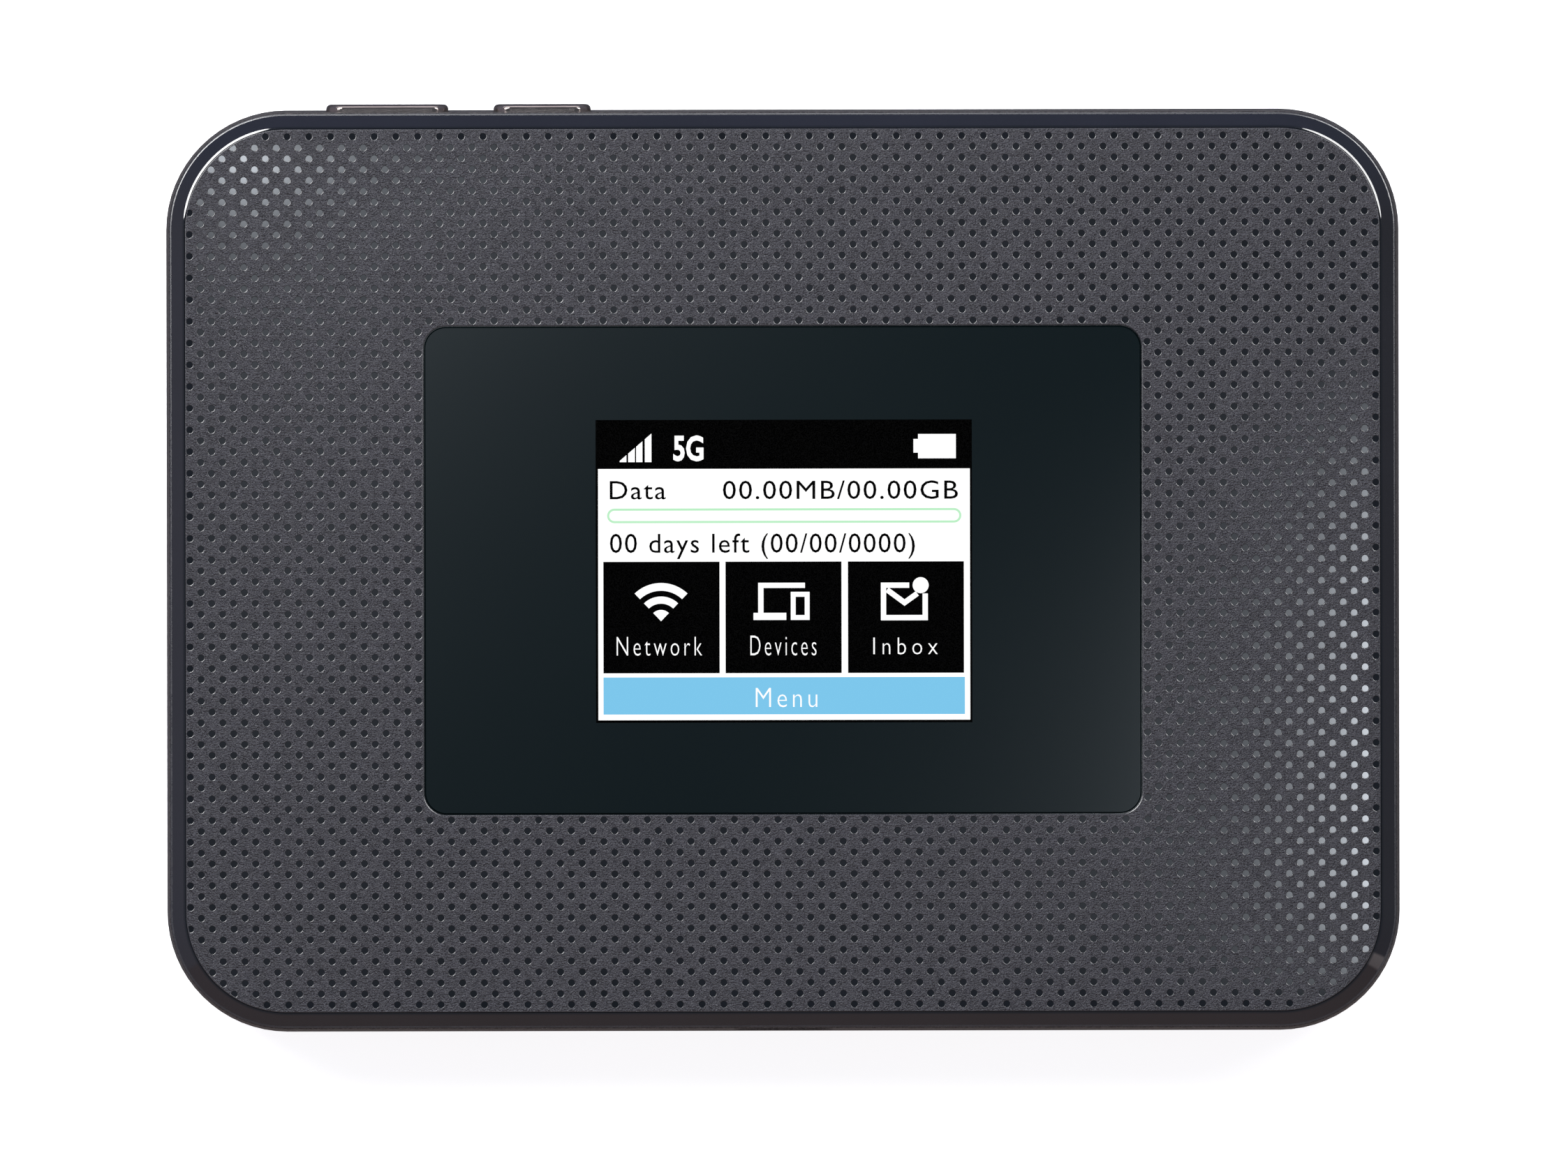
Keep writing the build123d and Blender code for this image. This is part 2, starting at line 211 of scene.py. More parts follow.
def texture(material, kind, size, stretch=(1, 1, 1), **values):
    """A procedural texture in the object's own space, whose features are about size millimetres across."""
    nodes, links = material.node_tree.nodes, material.node_tree.links
    place = nodes.new("ShaderNodeTexCoord")
    scale = nodes.new("ShaderNodeMapping")
    scale.inputs["Scale"].default_value = [s / (size * MM) for s in stretch]
    links.new(place.outputs["Object"], scale.inputs["Vector"])
    source = nodes.new(kind)
    links.new(scale.outputs["Vector"], source.inputs["Vector"])
    source.inputs["Scale"].default_value = 1.0
    for key, value in values.items():
        source.inputs[key].default_value = value
    return source.outputs["Distance" if kind == CELLS else 0]


def tint(material, source, low, high, start=NOISE_LOW, end=NOISE_HIGH):
    """Lets a texture move the base colour from low to high."""
    ramp = material.node_tree.nodes.new("ShaderNodeValToRGB")
    ramp.color_ramp.elements[0].position = start
    ramp.color_ramp.elements[0].color = low
    ramp.color_ramp.elements[1].position = end
    ramp.color_ramp.elements[1].color = high
    material.node_tree.links.new(source, ramp.inputs["Fac"])
    material.node_tree.links.new(ramp.outputs["Color"], shader_of(material).inputs["Base Color"])


def roughen(material, source, low, high):
    """Lets a texture move the roughness from low to high."""
    span = material.node_tree.nodes.new("ShaderNodeMapRange")
    limits = {"From Min": NOISE_LOW, "From Max": NOISE_HIGH, "To Min": low, "To Max": high}
    for key, value in limits.items():
        span.inputs[key].default_value = value
    material.node_tree.links.new(source, span.inputs["Value"])
    material.node_tree.links.new(span.outputs["Result"], shader_of(material).inputs["Roughness"])


def emboss(material, source, depth):
    """Lets a texture raise the surface by depth millimetres, over any relief that it has already."""
    normal = shader_of(material).inputs["Normal"]
    bump = material.node_tree.nodes.new("ShaderNodeBump")
    bump.inputs["Strength"].default_value = 1.0
    bump.inputs["Distance"].default_value = depth * MM
    material.node_tree.links.new(source, bump.inputs["Height"])
    if normal.is_linked:
        material.node_tree.links.new(normal.links[0].from_socket, bump.inputs["Normal"])
    material.node_tree.links.new(bump.outputs["Normal"], normal)


def polished_black():
    """The piano-black moulding of the bevel: a clear gloss, its roughness drawn out in faint hairlines."""
    material = new_material("polished_black", Roughness=0.03, Specular=0.8)
    tint(material, texture(material, NOISE, 9.0, Detail=3.0), colour(15, 16, 19), colour(18, 19, 23))
    roughen(material, texture(material, NOISE, 0.9, (1, 1, 6), Detail=4.0), 0.02, 0.05)
    return material


def pit_black():
    """The mirror-smooth floors and walls of the pits."""
    material = new_material("pit_black", Roughness=0.01)
    tint(material, texture(material, NOISE, 6.0, Detail=2.0), colour(17, 18, 21), colour(21, 22, 26))
    return material


def satin_black():
    """Edges rubbed to a satin: the cover's shoulder, the field's edges and the lips of its pits."""
    material = new_material("satin_black", Roughness=0.28, Specular=0.9)
    tint(material, texture(material, NOISE, 2.0, Detail=2.0), colour(36, 36, 39), colour(44, 44, 47))
    roughen(material, texture(material, NOISE, 0.3, Detail=2.0), 0.24, 0.32)
    return material


def leather_grain():
    """The field: a satin dark grey embossed with a fine leather grain, a little uneven in tone."""
    material = new_material("leather_grain", Roughness=0.5, Specular=0.5)
    tint(material, texture(material, NOISE, 1.3, Detail=5.0), colour(58, 58, 62), colour(64, 64, 69))
    roughen(material, texture(material, NOISE, 0.5, Detail=3.0), 0.36, 0.5)
    emboss(material, texture(material, NOISE, 0.15, Detail=1.0, Roughness=0.5), 0.36)
    emboss(material, texture(material, CELLS, 0.2), 0.05)
    return material


def flaked_paint():
    """The middle frame's satin brown-grey paint with its metallic flake."""
    material = new_material("flaked_paint", Metallic=0.35, Roughness=0.45, Specular=0.2)
    flakes = texture(material, NOISE, 0.16, Detail=2.0)
    tint(material, flakes, colour(56, 53, 52), colour(96, 92, 90), 0.4, 0.62)
    roughen(material, texture(material, NOISE, 0.3, Detail=2.0), 0.38, 0.55)
    emboss(material, texture(material, NOISE, 0.12, Detail=2.0), 0.004)
    return material


def anodised_metal():
    """The buttons' satin anodised metal, brushed along their length."""
    material = new_material("anodised_metal", Metallic=0.85, Roughness=0.3)
    brush = texture(material, NOISE, 0.08, (0.04, 1, 1), Detail=2.0)
    tint(material, brush, colour(110, 101, 98), colour(130, 121, 117))
    roughen(material, brush, 0.06, 0.12)
    emboss(material, brush, 0.002)
    return material


def moulded_plastic(name, low, high, rough, grain, depth):
    """A moulded part with a spark-eroded grain of the given size."""
    material = new_material(name, Roughness=rough, Specular=0.4)
    tint(material, texture(material, NOISE, 5.0, Detail=4.0), low, high)
    roughen(material, texture(material, NOISE, grain * 2, Detail=2.0), rough - 0.08, rough + 0.08)
    emboss(material, texture(material, NOISE, grain, Detail=3.0), depth)
    return material


def sheet_metal(name, low, high, rough):
    """Pressed metal with rolling marks along X."""
    material = new_material(name, Metallic=1.0, Roughness=rough)
    rolled = texture(material, NOISE, 0.25, (0.05, 1, 1), Detail=3.0)
    tint(material, rolled, low, high)
    roughen(material, rolled, rough - 0.08, rough + 0.1)
    emboss(material, rolled, 0.002)
    return material


def solder_mask():
    """Green solder mask, lighter where copper runs beneath it."""
    material = new_material("solder_mask", Roughness=0.3)
    copper = texture(material, BRICKS, 2.6)
    tint(material, copper, (0.02, 0.1, 0.05, 1), (0.01, 0.05, 0.03, 1), 0.3, 0.5)
    roughen(material, texture(material, NOISE, 0.6, Detail=2.0), 0.24, 0.38)
    emboss(material, copper, 0.02)
    return material


def cover_glass():
    """The black-backed glass over the display."""
    material = new_material("cover_glass", Roughness=0.02, Specular=0.37)
    backing = texture(material, NOISE, 25.0, Detail=1.0)
    tint(material, backing, (0.0018, 0.0046, 0.0052, 1), (0.0021, 0.0050, 0.0056, 1))
    return material


def lit(name, shade, glow):
    """A part of the display's picture, which lights itself, over a faint grain of pixels."""
    look = {"Emission_Color": shade, "Emission_Strength": glow}
    material = new_material(name, Roughness=0.5, Specular=0.0, **look)
    tint(material, texture(material, CELLS, 0.09), (0.0, 0.0, 0.0, 1), (0.002, 0.002, 0.002, 1))
    return material


# slot: the material's name, the colours it varies between, its roughness, and its grain's size and depth
MOULDED = {
    "display": ("panel_grey", colour(70, 72, 76), colour(84, 86, 90), 0.3, 0.3, 0.002),
    "rear_plastic": ("rear_plastic", colour(52, 52, 55), colour(60, 60, 63), 0.5, 0.35, 0.03),
    "rubber_black": ("rubber_black", colour(36, 36, 37), colour(48, 48, 49), 0.8, 0.2, 0.02),
    "foam_black": ("foam_black", colour(30, 30, 31), colour(44, 44, 45), 0.9, 0.5, 0.15),
    "adhesive": ("adhesive_film", colour(30, 30, 30), colour(40, 40, 40), 0.6, 0.6, 0.01),
    "chip_black": ("chip_black", colour(34, 34, 36), colour(44, 44, 46), 0.55, 0.15, 0.006),
    "connector_black": ("connector_black", colour(30, 30, 30), colour(42, 42, 42), 0.5, 0.2, 0.006),
    "flex_amber": ("flex_amber", colour(168, 98, 36), colour(188, 116, 46), 0.25, 0.8, 0.003),
    "pad_grey": ("pad_grey", colour(140, 146, 152), colour(154, 160, 166), 0.8, 0.4, 0.01),
    "card_white": ("card_white", colour(214, 214, 214), colour(226, 226, 226), 0.45, 0.5, 0.002),
}

# slot: the colours it varies between, and its roughness
METALS = {
    "bezel_metal": (colour(180, 180, 183), colour(204, 204, 207), 0.32),
    "spring_steel": (colour(176, 176, 178), colour(198, 198, 200), 0.26),
    "screw_steel": (colour(74, 74, 77), colour(96, 96, 99), 0.35),
    "contact_gold": (colour(222, 182, 102), colour(236, 200, 124), 0.22),
    "antenna_copper": (colour(196, 128, 92), colour(214, 150, 112), 0.28),
    "spreader_metal": (colour(192, 192, 194), colour(212, 212, 214), 0.36),
    "battery_wrap": (colour(54, 55, 60), colour(66, 67, 72), 0.4),
}

finishes = {
    "gloss_black": polished_black(),
    "lens_glass": cover_glass(),
    "frame_paint": flaked_paint(),
    "button_metal": anodised_metal(),
    "board_green": solder_mask(),
}
finishes.update((slot, moulded_plastic(*look)) for slot, look in MOULDED.items())
finishes.update((slot, sheet_metal(slot, *look)) for slot, look in METALS.items())
satin_edge = satin_black()


# ---------------------------------------------------------------- front cover
FOOT, FOOT_Z = 0.60, 17.0           # the bevel's lower edge: inset and height
TURN, TURN_Z = 1.60, 17.80          # where it starts to level out
HEAD = 1.84                         # inset of its inner edge
STEEP, FLAT = 19, 11                # its slope at TURN and at HEAD, in degrees
BEND_STEPS = 8
HOLD_NEAR, HOLD = 0.006, 0.04       # rings this far from the ends of its straight part keep the shading flat
GROOVE = 0.04                       # depth of the fine groove round the field
GROOVE_STEP = 0.03                  # how far its edges stand inside the bevel's head and the field's foot
UNDERCUT = 0.04                     # how far the field stands over the body at the window
SHOULDER = ((0.52, 16.98), (0.45, 16.94), (0.40, 16.86))        # the satin shoulder: insets and heights
RIM = 0.40                          # inset of the rim below it
LIP, LIP_WIDTH = 1.9, 1.0           # inset and width of the lip inside the middle frame
LIP_FOOT = 14.6
NOTCH_TOP = 15.5                    # top of the lip's notch for the socket
LEDGE_TOP = 16.6                    # top of the ledge that carries the glass, level with the skin's underside
LEDGE_FOOT = 15.8
LEDGE_RING = (35.5, 24.8, 3.0)      # half width, half height and corner radius of its outside
OPENING_RING = (25.0, 18.5, 1.0)    # and of the opening in it
BOSS_PLACES = ((-50.5, -36.5), (50.5, -36.5), (-50.5, 36.5), (50.5, 36.5), (10, 38), (22, -38))
BOSS_R, BOSS_TOP = 2.0, 16.7
PILOT_R, PILOT_TOP = 0.82, 15.5     # the screw's pilot hole
BOSS_SIDES = 32
GLOSS, SATIN = 0, 1                 # the body's materials


def bevel_rings():
    """The bevel from its inner edge, rounded until TURN and straight from there, down to its foot."""
    steep, flat = math.radians(STEEP), math.radians(FLAT)
    radius = (HEAD - TURN) / (math.sin(steep) - math.sin(flat))
    rings = []
    for step in range(BEND_STEPS + 1):
        tilt = flat + (steep - flat) * step / BEND_STEPS
        inset = TURN + radius * (math.sin(steep) - math.sin(tilt))
        rings.append((case_ring(inset), TURN_Z + radius * (math.cos(tilt) - math.cos(steep))))
    fall = (TURN_Z - FOOT_Z) / (TURN - FOOT)
    for inset in (TURN - HOLD_NEAR, TURN - HOLD, FOOT + HOLD, FOOT):
        rings.append((case_ring(inset), TURN_Z - (TURN - inset) * fall))
    return rings


def cover_profile():
    """The cover's cross-section as rings, from the window out over the bevel, down, and back inside.

    With each ring goes its height, and the material of the band between it and the next ring.
    """
    gloss = [
        (window_ring(UNDERCUT), UNDER_FIELD),
        (case_ring(FIELD_FOOT + GROOVE_STEP), UNDER_FIELD),
        (case_ring(HEAD + GROOVE_STEP), UNDER_FIELD - GROOVE),
        *bevel_rings(),
    ]
    satin = [gloss.pop(), *((case_ring(inset), z) for inset, z in SHOULDER)]
    inside = [
        (case_ring(RIM), SEAM),
        (case_ring(LIP), SEAM),
        (case_ring(LIP), LIP_FOOT),
        (case_ring(LIP + LIP_WIDTH), LIP_FOOT),
        (case_ring(LIP + LIP_WIDTH), LEDGE_TOP),
        (outline(*LEDGE_RING), LEDGE_TOP),
        (outline(*LEDGE_RING), LEDGE_FOOT),
        (outline(*OPENING_RING), LEDGE_FOOT),
        (outline(*OPENING_RING), LEDGE_TOP),
        (window_ring(), LEDGE_TOP),
    ]
    for rings, finish in ((gloss, GLOSS), (satin, SATIN), (inside, GLOSS)):
        yield from ((ring, z, finish) for ring, z in rings)


def cut_notch(points, numbers):
    """Lifts the part of a ring of the lip's foot that lies over the charging socket."""
    for n in numbers:
        x, y = points[n][:2]
        if abs(x) < (NOTCH_FOOT + NOTCH_HEAD) / 2 and y < 0:
            points[n] = (x, y, NOTCH_TOP)


def add_boss(points, faces, centre):
    """A screw boss with its pilot hole, hanging from the cover's inside."""
    low = cover_low.z
    rings = []
    for radius, z in ((BOSS_R, BOSS_TOP), (BOSS_R, low), (PILOT_R, low), (PILOT_R, PILOT_TOP)):
        angles = (math.tau * k / BOSS_SIDES for k in range(BOSS_SIDES))
        circle = [Vector(centre) + radius * Vector((math.cos(a), math.sin(a))) for a in angles]
        rings.append(add_ring(points, circle, z))
    for upper, lower in zip(rings, rings[1:]):
        bridge(faces, upper, lower)
    faces += [tuple(rings[0]), tuple(rings[-1])]


def cover_body():
    """The cover's moulding under the field: bevel, shoulder, lip with its socket notch, ledge and bosses."""
    points, faces, which, rings, bands = [], [], [], [], []
    for ring, z, finish in cover_profile():
        rings.append(add_ring(points, ring, z))
        bands.append(finish)
        if z == LIP_FOOT:
            cut_notch(points, rings[-1])
    for upper, lower, finish in zip(rings, rings[1:] + rings[:1], bands):
        bridge(faces, upper, lower)
        which += [finish] * len(upper)
    for centre in BOSS_PLACES:
        add_boss(points, faces, centre)
    which += [GLOSS] * (len(faces) - len(which))
    both = [finishes["gloss_black"], satin_edge]
    piece = add_piece("front_cover_body", points, faces, "case", both, which, sharp=15)
    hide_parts("front_cover")


def dip(x, y):
    """How far the face sinks along its straight sides, just inside its border."""
    from_side = (CASE_W / 2 - FIELD_EDGE - abs(x)) / DIP_REACH_X
    from_end = (CASE_H / 2 - FIELD_EDGE - abs(y)) / DIP_REACH_Y
    return DIP * sum(max(0.0, 1 - max(0.0, share)) ** DIP_CURVE for share in (from_side, from_end))


def pit_centres():
    """Every second point of a square lattice, between the border and the window."""
    rows = int(CASE_H / 2 / PITCH.y)
    columns = int(CASE_W / 2 / PITCH.x)
    for row in range(-rows, rows + 1):
        for column in range(-columns, columns):
            x, y = (column + 0.5) * PITCH.x, row * PITCH.y
            if (row + column) % 2 or depth_inside(x, y, FIELD_EDGE) < PIT_FROM_BORDER:
                continue
            if beyond_window(x, y) >= PIT_FROM_WINDOW:
                yield x, y


def pit_ring(x, y, radius):
    """One ring of a pit, pushed in where it would come too near the field's border or the window."""
    inward = PIT_MARGIN + PIT_RINGS[0][0] - radius
    ring = []
    for k in range(PIT_SIDES):
        angle = math.tau * k / PIT_SIDES
        point = held_inside(x + radius * math.cos(angle), y + radius * math.sin(angle), FIELD_EDGE + inward)
        ring.append(held_clear(point.x, point.y, WINDOW_EDGE + inward))
    return ring


GRAIN, PIT, EDGE = 0, 1, 2          # the field's materials


def level_face(centres, border):
    """The field's level face with its holes: its points, its triangles, its border and the holes' edges.

    The border and the edges are point numbers; the window's edge comes first, and then one for each pit.
    """
    flat = border + window_ring(WINDOW_EDGE)
    loops = [list(range(len(border), len(flat)))]
    for x, y in centres:
        loops.append(list(range(len(flat), len(flat) + PIT_SIDES)))
        flat += pit_ring(x, y, PIT_RINGS[0][0])
    edges = [(k, (k + 1) % len(border)) for k in range(len(border))]
    flat, _, triangles, origins, _, owners = delaunay_2d_cdt(flat, edges, loops, 0, 1e-6, True)
    number = {}
    for n, sources in enumerate(origins):
        for source in sources:
            number[source] = n
    faces = [tuple(t) for t, owner in zip(triangles, owners) if not owner]
    outer = [number[n] for n in range(len(border))]
    return flat, faces, outer, [[number[n] for n in loop] for loop in loops]


def add_sunk(points, ring, drop):
    """Adds a ring that lies drop under the face, following its dip, and returns its point numbers."""
    first = len(points)
    points += [(p.x, p.y, FACE - dip(p.x, p.y) - drop) for p in ring]
    return list(range(first, len(points)))


def cover_field():
    """The grained field with its pits, as one closed moulding let into the cover."""
    centres = list(pit_centres())
    flat, faces, outer, (inner, *mouths) = level_face(centres, case_ring(FIELD_EDGE))
    points = []
    add_sunk(points, flat, 0.0)
    which = [GRAIN] * len(faces)

    for (x, y), mouth in zip(centres, mouths):
        rings = [mouth] + [add_sunk(points, pit_ring(x, y, radius), depth) for radius, depth in PIT_RINGS[1:]]
        for shade, (upper, lower) in zip((EDGE, PIT), zip(rings, rings[1:])):
            bridge(faces, lower, upper)
            which += [shade] * PIT_SIDES
        faces.append(tuple(rings[-1]))
        which.append(PIT)

    for inset, drop in BORDER_RINGS:
        lower = add_sunk(points, case_ring(inset), drop)
        bridge(faces, outer, lower)
        outer = lower
    lower = add_ring(points, case_ring(FIELD_FOOT), UNDER_FIELD)
    bridge(faces, outer, lower)
    outer = lower
    for grow, z in [(grow, FACE - drop) for grow, drop in WINDOW_RINGS] + [(0.0, UNDER_FIELD)]:
        lower = add_ring(points, window_ring(grow), z)
        bridge(faces, lower, inner)
        inner = lower
    bridge(faces, outer, inner)
    which += [EDGE] * (len(faces) - len(which))
    shades = [leather_grain(), pit_black(), satin_edge]
    add_piece("front_cover_field", points, faces, "case", shades, which, sharp=12)


# ---------------------------------------------------------------- the display's picture
LAYER = 0.006                       # thickness of one layer of the picture, on the lens
MITRE_LIMIT = 0.3                   # a stroke's corner is at most half its width over this from the path
CAPTION_HEAVY = -0.012              # the captions' strokes are thinner than the font's


class Layer:
    """Thin shapes of one colour at one level over the lens, gathered into one piece."""

    def __init__(self, name, level, material):
        self.name = name
        self.low = LENS_TOP + level * LAYER
        self.high = self.low + LAYER
        self.material = material
        self.points = []
        self.faces = []

    def area(self, corners):
        """A filled shape, its corners given counterclockwise."""
        top = add_ring(self.points, [Vector(c) for c in corners], self.high)
        bottom = add_ring(self.points, [Vector(c) for c in corners], self.low)
        self.faces += [tuple(top), tuple(reversed(bottom))]
        bridge(self.faces, top, bottom)

    def box(self, x0, y0, x1, y1):
        """A filled rectangle."""
        self.area(((x0, y0), (x1, y0), (x1, y1), (x0, y1)))

    def stroke(self, path, width, closed=False):
        """A line of even width along a path, with mitred corners."""
        path = [Vector(p) for p in path]
        left, right = [], []
        count = len(path)
        for i, p in enumerate(path):
            before = path[i - 1] if closed or i else None
            after = path[(i + 1) % count] if closed or i < count - 1 else None
            ends = ((before, p), (p, after))
            runs = [(b - a).normalized() for a, b in ends if a is not None and b is not None]
            way = sum(runs, Vector((0, 0))).normalized()
            side = Vector((-way.y, way.x))
            reach = width / 2 / max(MITRE_LIMIT, side.dot(Vector((-runs[0].y, runs[0].x))))
            left.append(p + side * reach)
            right.append(p - side * reach)
        if not closed:
            self.area(right + left[::-1])
            return
        corners = ((left, self.high), (right, self.high), (right, self.low), (left, self.low))
        rings = [add_ring(self.points, side, z) for side, z in corners]
        for upper, lower in zip(rings, rings[1:] + rings[:1]):
            bridge(self.faces, upper, lower)

    def text(self, words, x0, x1, baseline, cap_top, spacing=1.1, heavy=0.0):
        """Words in the built-in font, fitted between x0 and x1 and from the baseline to the capitals' top."""
        solid = glyphs(words, spacing, heavy)
        capital = glyphs("H", 1.0, heavy)
        left = min(v.co.x for v in solid.vertices)
        right = max(v.co.x for v in solid.vertices)
        scale_x = (x1 - x0) / (right - left)
        scale_y = (cap_top - baseline) / max(v.co.y for v in capital.vertices)
        first = len(self.points)
        for v in solid.vertices:
            z = self.high if v.co.z > 0 else self.low
            self.points.append((x0 + (v.co.x - left) * scale_x, baseline + v.co.y * scale_y, z))
        self.faces += [tuple(first + n for n in face.vertices) for face in solid.polygons]

    def finish(self):
        """Makes the piece."""
        add_piece(self.name, self.points, self.faces, "case", [self.material])


def glyphs(words, spacing, heavy):
    """A mesh of a line of text, one unit thick, with its baseline on y = 0."""
    curve = bpy.data.curves.new("words", "FONT")
    curve.body = words
    curve.space_character = spacing
    curve.extrude = 0.5
    curve.offset = heavy
    curve.resolution_u = 3
    holder = bpy.data.objects.new("words", curve)
    bpy.context.scene.collection.objects.link(holder)
    bpy.context.view_layer.update()
    mesh = bpy.data.meshes.new_from_object(holder.evaluated_get(bpy.context.evaluated_depsgraph_get()))
    bpy.data.objects.remove(holder)
    return mesh


def arc(centre, radius, start, end, steps=20):
    """Points along an arc, its angles in degrees from +X."""
    angles = [math.radians(start + (end - start) * k / steps) for k in range(steps + 1)]
    return [(centre[0] + radius * math.cos(a), centre[1] + radius * math.sin(a)) for a in angles]


def picture_page(material):
    """The white page with its margins, the signal's bars, the network's name and the battery."""
    page = Layer("picture_page", 1, material)
    page.box(-17.2, -13.96, 17.42, 9.44)
    base, left, least, slope = 10.07, -15.18, 0.12, 0.86
    for x0, x1 in ((left, -14.55), (-14.39, -13.76), (-13.64, -13.06), (-12.84, -12.22)):
        rise0, rise1 = (least + (x - left) * slope for x in (x0, x1))
        page.area(((x0, base), (x1, base), (x1, base + rise1), (x0, base + rise0)))
    page.text("5G", -10.19, -7.37, 10.26, 12.53, spacing=1.0, heavy=0.03)
    page.box(12.60, 10.38, 16.12, 12.65)
    page.box(12.17, 10.91, 12.60, 12.19)
    page.finish()


def picture_tiles(material):
    """Three black tiles, and the black words on the page above them."""
    tiles = Layer("picture_tiles", 2, material)
    for x0, x1 in ((-16.72, -5.90), (-5.35, 5.45), (6.05, 16.84)):
        tiles.box(x0, -9.59, x1, 0.79)
    tiles.text("Data", -16.10, -10.89, 6.62, 8.31)
    tiles.text("00.00MB/00.00GB", -5.57, 16.31, 6.62, 8.31)
    tiles.text("00 days left (00/00/0000)", -16.10, 12.29, 1.63, 3.39)
    tiles.finish()


def picture_gauge(material):
    """The outline of an empty gauge with round ends."""
    gauge = Layer("picture_gauge", 2, material)
    x0, x1, y, radius = -16.26, 16.52, 5.07, 0.58
    pill = arc((x1 - radius, y), radius, -90, 90, 12) + arc((x0 + radius, y), radius, 90, 270, 12)
    gauge.stroke(pill, 0.2, closed=True)
    gauge.finish()


def picture_icons(material):
    """A fan of waves, a laptop with a phone and an envelope with a dot, one to a tile, and the captions."""
    icons = Layer("picture_icons", 3, material)
    apex, start, end = (-11.35, -4.75), 90 - 43.6, 90 + 43.6
    for outer, inner in ((3.57, 2.84), (2.31, 1.64)):
        icons.area(arc(apex, outer, start, end) + arc(apex, inner, end, start))
    icons.area([apex] + arc(apex, 1.06, start, end))
    icons.box(-2.31, -1.67, 2.05, -1.18)
    icons.box(-2.31, -3.98, -1.81, -1.67)
    icons.box(-2.75, -4.65, 0.31, -3.98)
    icons.stroke(((0.95, -2.26), (0.95, -4.42), (2.25, -4.42), (2.25, -2.26)), 0.46, closed=True)
    icons.stroke(((11.76, -1.43), (9.36, -1.43), (9.36, -4.45), (13.24, -4.45), (13.24, -2.2)), 0.5)
    icons.stroke(((9.69, -1.85), (11.32, -3.05), (12.5, -2.2)), 0.5)
    icons.area(arc((12.82, -1.43), 0.75, 0, 345, 23))
    icons.text("Network", -15.49, -7.54, -7.96, -6.20, 1.3, CAPTION_HEAVY)
    icons.text("Devices", -3.04, 3.11, -7.96, -6.10, 1.3, CAPTION_HEAVY)
    icons.text("Inbox", 8.4, 14.4, -7.88, -6.30, 1.4, CAPTION_HEAVY)
    icons.text("Menu", -2.55, 3.18, -12.78, -10.97, 1.25, CAPTION_HEAVY)
    icons.finish()


def display_picture():
    """What the display shows: a status bar, the data used, three tiles and a menu bar."""
    black = lit("picture_black", (0, 0, 0, 1), 0.0)
    white = lit("picture_white", (1, 1, 1, 1), 1.05)
    blue = lit("picture_blue", colour(125, 199, 236), 1.0)
    green = lit("picture_green", colour(188, 240, 198), 1.0)

    panel = Layer("picture_panel", 0, black)
    panel.box(-17.42, -14.2, 17.61, 14.0)
    panel.finish()
    picture_page(white)
    picture_tiles(black)
    bar = Layer("picture_bar", 2, blue)
    bar.box(-16.72, -13.43, 16.92, -9.98)
    bar.finish()
    picture_gauge(green)
    picture_icons(white)


# ---------------------------------------------------------------- charging socket
CONTACTS = 12                       # on each face of the tongue
CONTACT_PITCH = 0.5
CONTACT_HALF_WIDTH = 0.13
CONTACT_Y = (-41.6, -38.2)
CONTACT_Z = (0.345, 0.37)           # from the tongue's middle


def usb_contacts():
    """The gold contacts on both faces of the charging socket's tongue."""
    points, faces = [], []
    centre_z = (tongue_low.z + tongue_high.z) / 2
    for side in (-1, 1):
        for k in range(CONTACTS):
            x = (k - (CONTACTS - 1) / 2) * CONTACT_PITCH
            x0, x1 = x - CONTACT_HALF_WIDTH, x + CONTACT_HALF_WIDTH
            y0, y1 = CONTACT_Y
            z0, z1 = sorted(centre_z + side * z for z in CONTACT_Z)
            square = [Vector(corner) for corner in ((x0, y0), (x1, y0), (x1, y1), (x0, y1))]
            top, bottom = add_ring(points, square, z1), add_ring(points, square, z0)
            bridge(faces, top, bottom)
            faces += [tuple(top), tuple(reversed(bottom))]
    add_piece("usb_contacts", points, faces, "case", [finishes["contact_gold"]])


# ---------------------------------------------------------------- carried-over nodes
for row in frame["record"]["subparts"]:
    node = frame["nodes"][row["node"]]
    node.data.materials.clear()
    node.data.materials.append(finishes[row["material_slot"]])

cover_body()
cover_field()
display_picture()
usb_contacts()


# ---------------------------------------------------------------- stage, light and camera
LENS_LENGTH = 900.0
SENSOR = 36.0
VIEW_W = 145.96                     # width of the picture at the object
DISTANCE = VIEW_W * LENS_LENGTH / SENSOR
CAMERA_X, CAMERA_Y = 0.1, -0.6
CAMERA_TURN = -0.0019

FLOOR_REACH = 6.0                   # in metres

# azimuth and elevation in degrees, distance, width and height in metres, and radiance
SOFTBOXES = {
    "softbox_left": (138, 56.5, 0.45, 0.275, 0.115, 18.4),
    "softbox_right": (40, 56.5, 0.48, 0.285, 0.104, 14.2),
    "softbox_top": (104, 30, 0.175, 0.2, 0.05, 3.0),
}

scene = bpy.context.scene
scene.view_settings.view_transform = "Standard"

camera_data = bpy.data.cameras.new("camera")
camera_data.lens = LENS_LENGTH
camera_data.sensor_width = SENSOR
camera_data.clip_end = 20.0
camera = bpy.data.objects.new("camera", camera_data)
camera.location = Vector((CAMERA_X, CAMERA_Y, FACE + DISTANCE)) * MM
camera.rotation_euler.z = CAMERA_TURN
scene.collection.objects.link(camera)
scene.camera = camera


